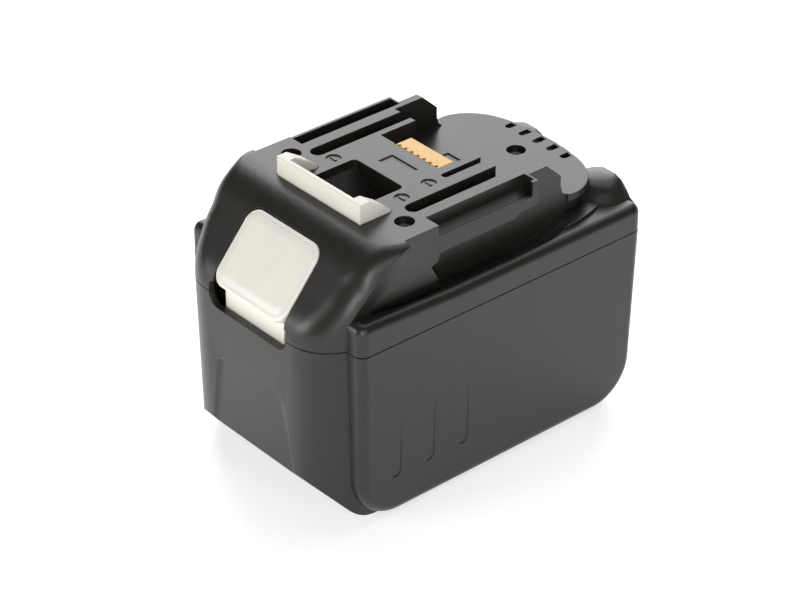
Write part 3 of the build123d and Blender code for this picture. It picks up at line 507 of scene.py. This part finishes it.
class PackDresser:
    """Puts a smoothed copy with a finish in the place of each frame node.

    Args:
        finishes: The maker of the finishes.
    """

    def __init__(self, frame: dict[str, Any], finishes: FinishMaker) -> None:
        self.frame = frame
        self.finishes = finishes
        self.slots = {
            part["node"]: part["material_slot"] for part in frame["record"]["subparts"]
        }

    def dress(self) -> None:
        """Dresses every node of every body."""
        for body, nodes in self.frame["record"]["behaviour"]["bodies"].items():
            for node in nodes:
                self._dress_node(node, body)
                LOG.info("dressed %s on the body %s", node, body)

    def _dress_node(self, node: str, body: str) -> None:
        """Copies one node, gives it its finish and puts it in the node's place.

        Args:
            node: The node's name.
            body: The body that it rides on.
        """
        source = self.frame["nodes"][node]
        finish = Finish(self.slots[node])
        mesh = source.data.copy()
        mesh.name = node + "_look"
        shown = bpy.data.objects.new(node + "_look", mesh)
        bpy.context.scene.collection.objects.link(shown)
        mesh.materials.clear()
        mesh.materials.append(self.finishes.material(finish))
        self._merge(shown)
        if node == TUB:
            LOG.info("softened %d places of the relief", Relief().soften(mesh))
        self._smooth(shown)
        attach(shown, body)
        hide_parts(node)
        if finish is Finish.SPRING:
            self._let_coils_close(shown)

    def _let_coils_close(self, spring: bpy.types.Object) -> None:
        """Works out how far a latch spring would shorten with the latch's travel, towards its fixed
        foot, and gives the copy its own mesh; the copy keeps its rest length.

        Args:
            spring: The spring's copy, at rest length.
        """
        foot = SPRING_FOOT * MM
        top = max(vertex.co.z for vertex in spring.data.vertices)
        travel = SPRING_SLACK * MM + next(
            joint["range_m"][1]
            for joint in self.frame["record"]["behaviour"]["joints"]
            if joint["name"] == LATCH_JOINT
        )
        keep = 1.0 - travel / (top - foot)
        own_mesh(spring)

    @staticmethod
    def _merge(shown: bpy.types.Object) -> None:
        """Joins the loose triangles into one skin and drops the normals that they came with."""
        bpy.ops.object.select_all(action="DESELECT")
        shown.select_set(True)
        bpy.context.view_layer.objects.active = shown
        bpy.ops.object.mode_set(mode="EDIT")
        bpy.ops.mesh.select_all(action="SELECT")
        bpy.ops.mesh.remove_doubles(threshold=MERGE)
        bpy.ops.object.mode_set(mode="OBJECT")
        bpy.ops.mesh.customdata_custom_splitnormals_clear()

    @staticmethod
    def _smooth(shown: bpy.types.Object) -> None:
        """Smooths what isn't a sharp edge, and keeps broad faces flat."""
        shown.data.shade_smooth()
        shown.data.set_sharp_from_angle(angle=SMOOTH_ANGLE)
        weighted = shown.modifiers.new("weighted", "WEIGHTED_NORMAL")
        weighted.keep_sharp = True
        bpy.ops.object.modifier_apply(modifier=weighted.name)


def finish_mesh(
    name: str, points: list[Vector], faces: list[tuple[int, ...]], material: bpy.types.Material
) -> bpy.types.Object:
    """Makes a smooth piece at the origin, with its normals outwards.

    Args:
        name: The piece's name.
        points: Its vertices, in metres.
        faces: Its faces, as indices of the vertices.
        material: Its finish.

    Returns:
        The linked object.
    """
    mesh = bpy.data.meshes.new(name)
    mesh.from_pydata([tuple(point) for point in points], [], faces)
    builder = bmesh.new()
    builder.from_mesh(mesh)
    bmesh.ops.remove_doubles(builder, verts=builder.verts, dist=MERGE)
    bmesh.ops.recalc_face_normals(builder, faces=builder.faces)
    builder.to_mesh(mesh)
    builder.free()
    mesh.materials.append(material)
    mesh.shade_smooth()
    mesh.set_sharp_from_angle(angle=SMOOTH_ANGLE)
    piece = bpy.data.objects.new(name, mesh)
    bpy.context.scene.collection.objects.link(piece)
    return piece


def lofted(rings: list[list[Vector]]) -> tuple[list[Vector], list[tuple[int, ...]]]:
    """Joins closed rings of equal length into a shell that is shut at both ends.

    Args:
        rings: The rings, from one end to the other.

    Returns:
        The shell's vertices and faces.
    """
    count = len(rings[0])
    points = [point for ring in rings for point in ring]
    faces: list[tuple[int, ...]] = []
    for step in range(len(rings) - 1):
        low = step * count
        for side in range(count):
            after = (side + 1) % count
            faces.append((low + side, low + after, low + count + after, low + count + side))
    faces.append(tuple(range(count))[::-1])
    faces.append(tuple(range((len(rings) - 1) * count, len(rings) * count)))
    return points, faces


def eased(share: float) -> float:
    """Returns a share of 0 to 1 with a soft start and a soft end."""
    return share * share * (3.0 - 2.0 * share)


@dataclass(frozen=True)
class ButtonFace:
    """The soft, slightly crowned face of the latch's thumb button, in millimetres.

    Args:
        middle: A point of the button's plane.
        up: The direction up the slope.
        out: The direction out of the slope.
        half_width: Half the face's width.
        top: How far the face goes up from the middle.
        bottom: How far it goes down from the middle.
        corner: The radius of its corners.
        inset: How far the raised part stays from the button's rim.
        height: How far its middle stands out.
        shoulder: How wide the slope round the raised part is.
        root: How deep its edge goes into the button.
        lift: How far its edge stands out.
        least_corner: The least radius of a corner.
        corner_steps: How many steps a corner has.
        rings: How many rings the slope has.
    """

    middle: Point = (0.0, -50.0, 71.08)
    up: Point = (0.0, 0.649, 0.761)
    out: Point = (0.0, -0.761, 0.649)
    half_width: float = 15.4
    top: float = 11.72
    bottom: float = -12.33
    corner: float = 4.6
    inset: float = 1.1
    height: float = 0.5
    shoulder: float = 2.6
    root: float = 0.3
    lift: float = 0.01
    least_corner: float = 0.6
    corner_steps: int = 8
    rings: int = 8

    def outline(self, inset: float) -> list[tuple[float, float]]:
        """Returns the face's rounded outline.

        Args:
            inset: How far inside the button's rim it runs.

        Returns:
            The points across and up the slope, counter-clockwise.
        """
        radius = max(self.corner - inset, self.least_corner)
        half = self.half_width - inset
        low = self.bottom + inset
        high = self.top - inset
        corners = (
            (half - radius, low + radius, -1),
            (half - radius, high - radius, 0),
            (radius - half, high - radius, 1),
            (radius - half, low + radius, 2),
        )
        points = []
        for across, along, quarter in corners:
            for step in range(self.corner_steps + 1):
                angle = RIGHT_ANGLE * (quarter + step / self.corner_steps)
                points.append((across + radius * math.cos(angle), along + radius * math.sin(angle)))
        return points

    def point(self, across: float, along: float, stand: float) -> Vector:
        """Returns a place on the slope in metres.

        Args:
            across: How far it is across the slope.
            along: How far it is up the slope.
            stand: How far it stands out.

        Returns:
            The place in the pack's frame.
        """
        up, out = Vector(self.up), Vector(self.out)
        return (Vector(self.middle) + Vector((across, 0.0, 0.0)) + up * along + out * stand) * MM

    def build(self, material: bpy.types.Material) -> bpy.types.Object:
        """Builds the raised face.

        Args:
            material: The latch's finish.

        Returns:
            The piece, riding on the latch.
        """
        rim = self.outline(self.inset)
        rings = [[self.point(across, along, -self.root) for across, along in rim]]
        for step in range(self.rings + 1):
            share = step / self.rings
            stand = self.height * eased(share) + self.lift
            ring = self.outline(self.inset + share * self.shoulder)
            rings.append([self.point(across, along, stand) for across, along in ring])
        piece = finish_mesh("latch_button_face", *lofted(rings), material)
        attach(piece, "latch")
        return piece


@dataclass(frozen=True)
class VentRim:
    """The thin rim that closes the vents at the rear plate's edge, in millimetres.

    Args:
        outline: The plate's edge, from right to left.
        thickness: The rim's thickness.
        stand: How far it stands out of the edge.
        low: Its lower side.
        high: Its upper side.
    """

    outline: tuple[tuple[float, float], ...] = (
        (21.6, 49.6),
        (16.9, 51.7),
        (11.2, 53.0),
        (5.0, 53.7),
        (0.0, 53.8),
        (-5.0, 53.7),
        (-11.2, 53.0),
        (-16.9, 51.7),
        (-21.6, 49.6),
    )
    thickness: float = 0.9
    stand: float = 0.02
    low: float = 70.05
    high: float = 72.25

    def build(self, material: bpy.types.Material) -> bpy.types.Object:
        """Builds the rim.

        Args:
            material: The housing's finish.

        Returns:
            The piece, riding on the pack.
        """
        rings = []
        last = len(self.outline) - 1
        for index, (across, along) in enumerate(self.outline):
            before = Vector(self.outline[max(index - 1, 0)])
            after = Vector(self.outline[min(index + 1, last)])
            run = (after - before).normalized()
            inward = Vector((-run.y, run.x))
            outer = Vector((across, along)) - inward * self.stand
            inner = outer + inward * self.thickness
            rings.append(
                [
                    Vector((outer.x, outer.y, self.low)) * MM,
                    Vector((outer.x, outer.y, self.high)) * MM,
                    Vector((inner.x, inner.y, self.high)) * MM,
                    Vector((inner.x, inner.y, self.low)) * MM,
                ]
            )
        piece = finish_mesh("rear_vent_rim", *lofted(rings), material)
        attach(piece, "pack")
        return piece


@dataclass(frozen=True)
class RearLug:
    """A rounded swelling on the rear shoulder, cut flush with the rear wall, in millimetres.

    Args:
        name: The piece's name.
        across: Its middle along X.
        along: Its middle along Y.
        top: Its height.
        profile: The radius and the drop from the top, from its foot upwards.
        rear_wall: The Y at which it is cut.
        sides: How many sides its rings have.
    """

    name: str
    across: float
    along: float
    top: float
    profile: tuple[tuple[float, float], ...] = (
        (11.5, -7.0),
        (9.8, -5.8),
        (8.6, -4.3),
        (7.6, -2.8),
        (6.4, -1.5),
        (5.0, -0.7),
        (3.2, -0.2),
        (1.0, 0.0),
    )
    rear_wall: float = 56.95
    sides: int = 48

    def build(self, material: bpy.types.Material) -> bpy.types.Object:
        """Builds the swelling.

        Args:
            material: The housing's finish.

        Returns:
            The piece, riding on the pack.
        """
        rings = []
        for radius, drop in self.profile:
            ring = []
            for side in range(self.sides):
                angle = 2.0 * math.pi * side / self.sides
                x = self.across + radius * math.cos(angle)
                y = min(self.along + radius * math.sin(angle), self.rear_wall)
                ring.append(Vector((x, y, self.top + drop)) * MM)
            rings.append(ring)
        piece = finish_mesh(self.name, *lofted(rings), material)
        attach(piece, "pack")
        return piece


@dataclass(frozen=True)
class RearEdge:
    """The rear wall's top edge, crisp between the corners and rounded at them, in millimetres.

    Args:
        rear: The edge's Y.
        height: Its height.
        depth: How far the strip reaches below and before the edge.
        corner_radius: The rounding at the corners.
        crisp_radius: The rounding between them.
        end: Where the strip ends on each side.
        end_sink: How far it dips under the corners at its ends.
        crisp_left: Where the crisp part ends on the left.
        crisp_right: Where it ends on the right.
        rings: How many rings the strip has.
        steps: How many steps the rounding has.
    """

    rear: float = 57.045
    height: float = 65.295
    depth: float = 2.85
    corner_radius: float = 2.8
    crisp_radius: float = 0.6
    end: float = 34.3
    end_sink: float = 0.05
    crisp_left: float = -24.0
    crisp_right: float = 30.2
    rings: int = 60
    steps: int = 8

    def _share(self, across: float) -> float:
        """Returns 0 on the crisp part and 1 at the ends."""
        left = (self.crisp_left - across) / (self.end + self.crisp_left)
        right = (across - self.crisp_right) / (self.end - self.crisp_right)
        return eased(min(max(left, right, 0.0), 1.0))

    def _ring(self, across: float) -> list[Vector]:
        """Returns the strip's profile at one X, in metres."""
        share = self._share(across)
        sunk = self.end_sink * share
        radius = self.crisp_radius + (self.corner_radius - self.crisp_radius) * share
        rear, height = self.rear - sunk, self.height - sunk
        low, front = self.height - self.depth, self.rear - self.depth
        ring = [Vector((across, front, low)) * MM, Vector((across, rear, low)) * MM]
        for step in range(self.steps + 1):
            angle = RIGHT_ANGLE * step / self.steps
            y = rear - radius * (1.0 - math.cos(angle))
            z = height - radius * (1.0 - math.sin(angle))
            ring.append(Vector((across, y, z)) * MM)
        ring.append(Vector((across, front, height)) * MM)
        return ring

    def build(self, material: bpy.types.Material) -> bpy.types.Object:
        """Builds the edge.

        Args:
            material: The housing's finish.

        Returns:
            The piece, riding on the pack.
        """
        width = 2.0 * self.end / self.rings
        rings = [self._ring(width * index - self.end) for index in range(self.rings + 1)]
        piece = finish_mesh("rear_edge", *lofted(rings), material)
        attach(piece, "pack")
        return piece


@dataclass(frozen=True)
class WeldSpots:
    """The weld spots that hold a side's nickel strips to its cells, in millimetres.

    Args:
        name: The piece's name.
        face: The strips' outer face along X.
        middle_y: The cells' middle along Y.
        middle_z: The cells' middle height.
        pitch_y: The distance from column to column.
        pitch_z: The distance from layer to layer.
        columns: How many columns of cells there are.
        layers: How many layers there are.
        spread: The distance between the spots of one cell.
        spots: How many spots a cell has along each side of their square.
        radius: A spot's radius.
        flatness: A spot's thickness as a share of its width.
        sides: How many sides a spot has.
        belts: How many belts of faces it has from front to back.
    """

    name: str
    face: float
    middle_y: float = 4.1
    middle_z: float = 30.3
    pitch_y: float = 19.4
    pitch_z: float = 18.6
    columns: int = 5
    layers: int = 3
    spread: float = 2.6
    spots: int = 2
    radius: float = 0.55
    flatness: float = 0.16
    sides: int = 10
    belts: int = 6

    def _sizes(self) -> dict[str, float]:
        """Returns the tree's inputs by name, in metres."""
        return {
            "Pitch Y": self.pitch_y * MM,
            "Pitch Z": self.pitch_z * MM,
            "Spread": self.spread * MM,
            "Radius": self.radius * MM,
        }

    def tree(self, material: bpy.types.Material) -> bpy.types.NodeTree:
        """Builds the tree that sets a square of spots on each cell.

        Args:
            material: The spots' finish.

        Returns:
            The Geometry Nodes tree, with named inputs for its sizes.
        """
        group = bpy.data.node_groups.new(self.name + "_tree", "GeometryNodeTree")
        for label in self._sizes():
            group.interface.new_socket(name=label, in_out="INPUT", socket_type="NodeSocketFloat")
        group.interface.new_socket(name="Spots", in_out="OUTPUT", socket_type="NodeSocketGeometry")
        kit = NodeKit(group)
        sizes = kit.node("NodeGroupInput", {}).outputs
        length = Value(kit, sizes["Pitch Y"]) * float(self.columns - 1)
        height = Value(kit, sizes["Pitch Z"]) * float(self.layers - 1)
        side = Value(kit, sizes["Spread"]) * float(self.spots - 1)
        ball = kit.node("GeometryNodeMeshUVSphere", {}, self.sides, self.belts, sizes["Radius"])
        spot = kit.node(
            "GeometryNodeTransform", {}, ball.outputs[0], Scale=(1.0, 1.0, self.flatness)
        )
        square = kit.node("GeometryNodeMeshGrid", {}, side, side, self.spots, self.spots)
        cells = kit.node("GeometryNodeMeshGrid", {}, length, height, self.columns, self.layers)
        group_of_spots = kit.node(
            "GeometryNodeInstanceOnPoints", {}, square.outputs[0], Instance=spot.outputs[0]
        )
        on_cells = kit.node(
            "GeometryNodeInstanceOnPoints", {}, cells.outputs[0], Instance=group_of_spots.outputs[0]
        )
        placed = kit.node(
            "GeometryNodeTransform",
            {},
            on_cells.outputs[0],
            Translation=(self.face * MM, self.middle_y * MM, self.middle_z * MM),
            Rotation=(RIGHT_ANGLE, 0.0, RIGHT_ANGLE),
        )
        real = kit.node("GeometryNodeRealizeInstances", {}, placed.outputs[0])
        done = kit.node("GeometryNodeSetMaterial", {}, real.outputs[0], Material=material)
        kit.node("NodeGroupOutput", {}, done.outputs[0])
        return group

    def build(self, material: bpy.types.Material) -> bpy.types.Object:
        """Builds the spots as one plain mesh.

        Args:
            material: The nickel's finish.

        Returns:
            The piece, riding on the pack.
        """
        group = self.tree(material)
        carrier = bpy.data.objects.new(self.name, bpy.data.meshes.new(self.name + "_seed"))
        bpy.context.scene.collection.objects.link(carrier)
        modifier = carrier.modifiers.new("spots", "NODES")
        modifier.node_group = group
        sizes = self._sizes()
        for socket in group.interface.items_tree:
            if socket.in_out == "INPUT":
                modifier[socket.identifier] = sizes[socket.name]
        evaluated = carrier.evaluated_get(bpy.context.evaluated_depsgraph_get())
        baked = bpy.data.meshes.new_from_object(evaluated)
        carrier.modifiers.clear()
        carrier.data = baked
        baked.shade_smooth()
        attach(carrier, "pack")
        return carrier


@dataclass(frozen=True)
class Softbox:
    """A rectangular light that faces a point.

    Args:
        name: The light's name.
        place: Where its centre is, in metres.
        aim: The point that it faces.
        size: Its width and height, in metres.
        power: Its power, in watts.
    """

    name: str
    place: Point
    aim: Point
    size: tuple[float, float]
    power: float

    def build(self) -> None:
        """Hangs the light in the scene."""
        data = bpy.data.lights.new(self.name, "AREA")
        data.shape = "RECTANGLE"
        data.size, data.size_y = self.size
        data.energy = self.power
        light = bpy.data.objects.new(self.name, data)
        light.location = self.place
        facing = Vector(self.aim) - Vector(self.place)
        light.rotation_euler = facing.to_track_quat("-Z", "Y").to_euler()
        bpy.context.scene.collection.objects.link(light)


@dataclass(frozen=True)
class ViewCamera:
    """The camera at the photograph's viewing angle.

    Args:
        focal_px: The focal length in the photograph's pixels.
        picture_px: The photograph's width in pixels.
        azimuth: The degrees from the pack's front towards its right.
        elevation: The degrees above the horizon.
        target: The point in the picture's middle, in metres.
        distance: The distance to that point, in metres.
        sensor_mm: The sensor's width.
        nearest: The nearest distance that it sees, in metres.
    """

    focal_px: float = 2909.18
    picture_px: float = 800.0
    azimuth: float = 49.35
    elevation: float = 32.57
    target: Point = (0.00086, -0.00289, 0.040)
    distance: float = 0.83198
    sensor_mm: float = 36.0
    nearest: float = 0.01

    def build(self) -> None:
        """Places the camera and makes it the scene's own."""
        data = bpy.data.cameras.new("camera")
        data.sensor_width = self.sensor_mm
        data.lens = self.focal_px / self.picture_px * self.sensor_mm
        data.clip_start = self.nearest
        camera = bpy.data.objects.new("camera", data)
        turn, rise = math.radians(self.azimuth), math.radians(self.elevation)
        level = math.cos(rise)
        forward = Vector((-math.sin(turn) * level, math.cos(turn) * level, -math.sin(rise)))
        camera.location = Vector(self.target) - forward * self.distance
        camera.rotation_euler = forward.to_track_quat("-Z", "Y").to_euler()
        bpy.context.scene.collection.objects.link(camera)
        bpy.context.scene.camera = camera


@dataclass(frozen=True)
class Studio:
    """The white floor, the dim surroundings, the lights and the camera.

    Args:
        floor_size: The floor's width in metres.
        floor_drop: How far it lies below the pack, in millimetres.
        floor_white: The floor's base colour.
        floor_roughness: Its roughness.
        floor_gloss: Its specular level.
        floor_glow: How bright it is by itself.
        air: The colour of the surroundings.
        air_strength: Their brightness.
        softboxes: The lights.
    """

    floor_size: float = 6.0
    floor_drop: float = 0.2
    floor_white: Color = (0.9, 0.9, 0.9)
    floor_roughness: float = 0.9
    floor_gloss: float = 0.1
    floor_glow: float = 0.56
    air: Color = (0.95, 0.97, 1.0)
    air_strength: float = 0.09
    softboxes: tuple[Softbox, ...] = (
        Softbox("overhead", (-0.25, 0.45, 1.25), (0.0, 0.0, 0.05), (1.5, 1.1), 8.0),
        Softbox("backdrop_glow", (-1.1, 0.95, 0.75), (0.0, 0.0, 0.05), (1.4, 1.3), 21.0),
        Softbox("right_fill", (1.3, -0.25, 0.55), (0.0, 0.0, 0.04), (0.8, 0.8), 3.5),
        Softbox("front_fill", (-0.6, -1.3, 0.35), (0.0, 0.0, 0.04), (0.8, 0.5), 8.5),
        Softbox("nose_strip", (1.08, -0.86, 0.46), (0.02, -0.04, 0.06), (0.34, 0.85), 7.5),
    )

    def build(self) -> None:
        """Builds the whole studio."""
        self._floor()
        self._world()
        for softbox in self.softboxes:
            softbox.build()
        ViewCamera().build()
        bpy.context.scene.view_settings.view_transform = "Standard"

    def _floor(self) -> None:
        """Lays the white floor."""
        place = (0.0, 0.0, -self.floor_drop * MM)
        bpy.ops.mesh.primitive_plane_add(size=self.floor_size, location=place)
        floor = bpy.context.object
        floor.name = "studio_floor"
        graph = Graph("studio_white")
        shader = graph.shader
        shader.inputs["Base Color"].default_value = (*self.floor_white, 1.0)
        shader.inputs["Roughness"].default_value = self.floor_roughness
        shader.inputs["Specular IOR Level"].default_value = self.floor_gloss
        shader.inputs["Emission Color"].default_value = (1.0, 1.0, 1.0, 1.0)
        shader.inputs["Emission Strength"].default_value = self.floor_glow
        floor.data.materials.append(graph.material)

    def _world(self) -> None:
        """Sets the dim light that comes from everywhere."""
        world = bpy.data.worlds.new("studio_world")
        bpy.context.scene.world = world
        world.use_nodes = True
        background = world.node_tree.nodes["Background"]
        background.inputs["Color"].default_value = (*self.air, 1.0)
        background.inputs["Strength"].default_value = self.air_strength


def main() -> None:
    """Builds the scene."""
    logging.basicConfig(level=logging.INFO, format="%(name)s: %(message)s")
    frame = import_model()
    finishes = FinishMaker()
    PackDresser(frame, finishes).dress()
    housing = finishes.material(Finish.HOUSING)
    nickel = finishes.material(Finish.NICKEL)
    pieces = (
        ButtonFace().build(finishes.material(Finish.LATCH)),
        VentRim().build(housing),
        RearLug("rear_lug_right", 23.6, 52.6, 70.9).build(housing),
        RearLug("rear_lug_left", -9.6, 52.6, 71.6).build(housing),
        RearEdge().build(housing),
        WeldSpots("weld_spots_right", STRIP_FACE).build(nickel),
        WeldSpots("weld_spots_left", -STRIP_FACE).build(nickel),
    )
    for piece in pieces:
        LOG.info("built %s", piece.name)
    Studio().build()


if __name__ == "__main__":
    main()
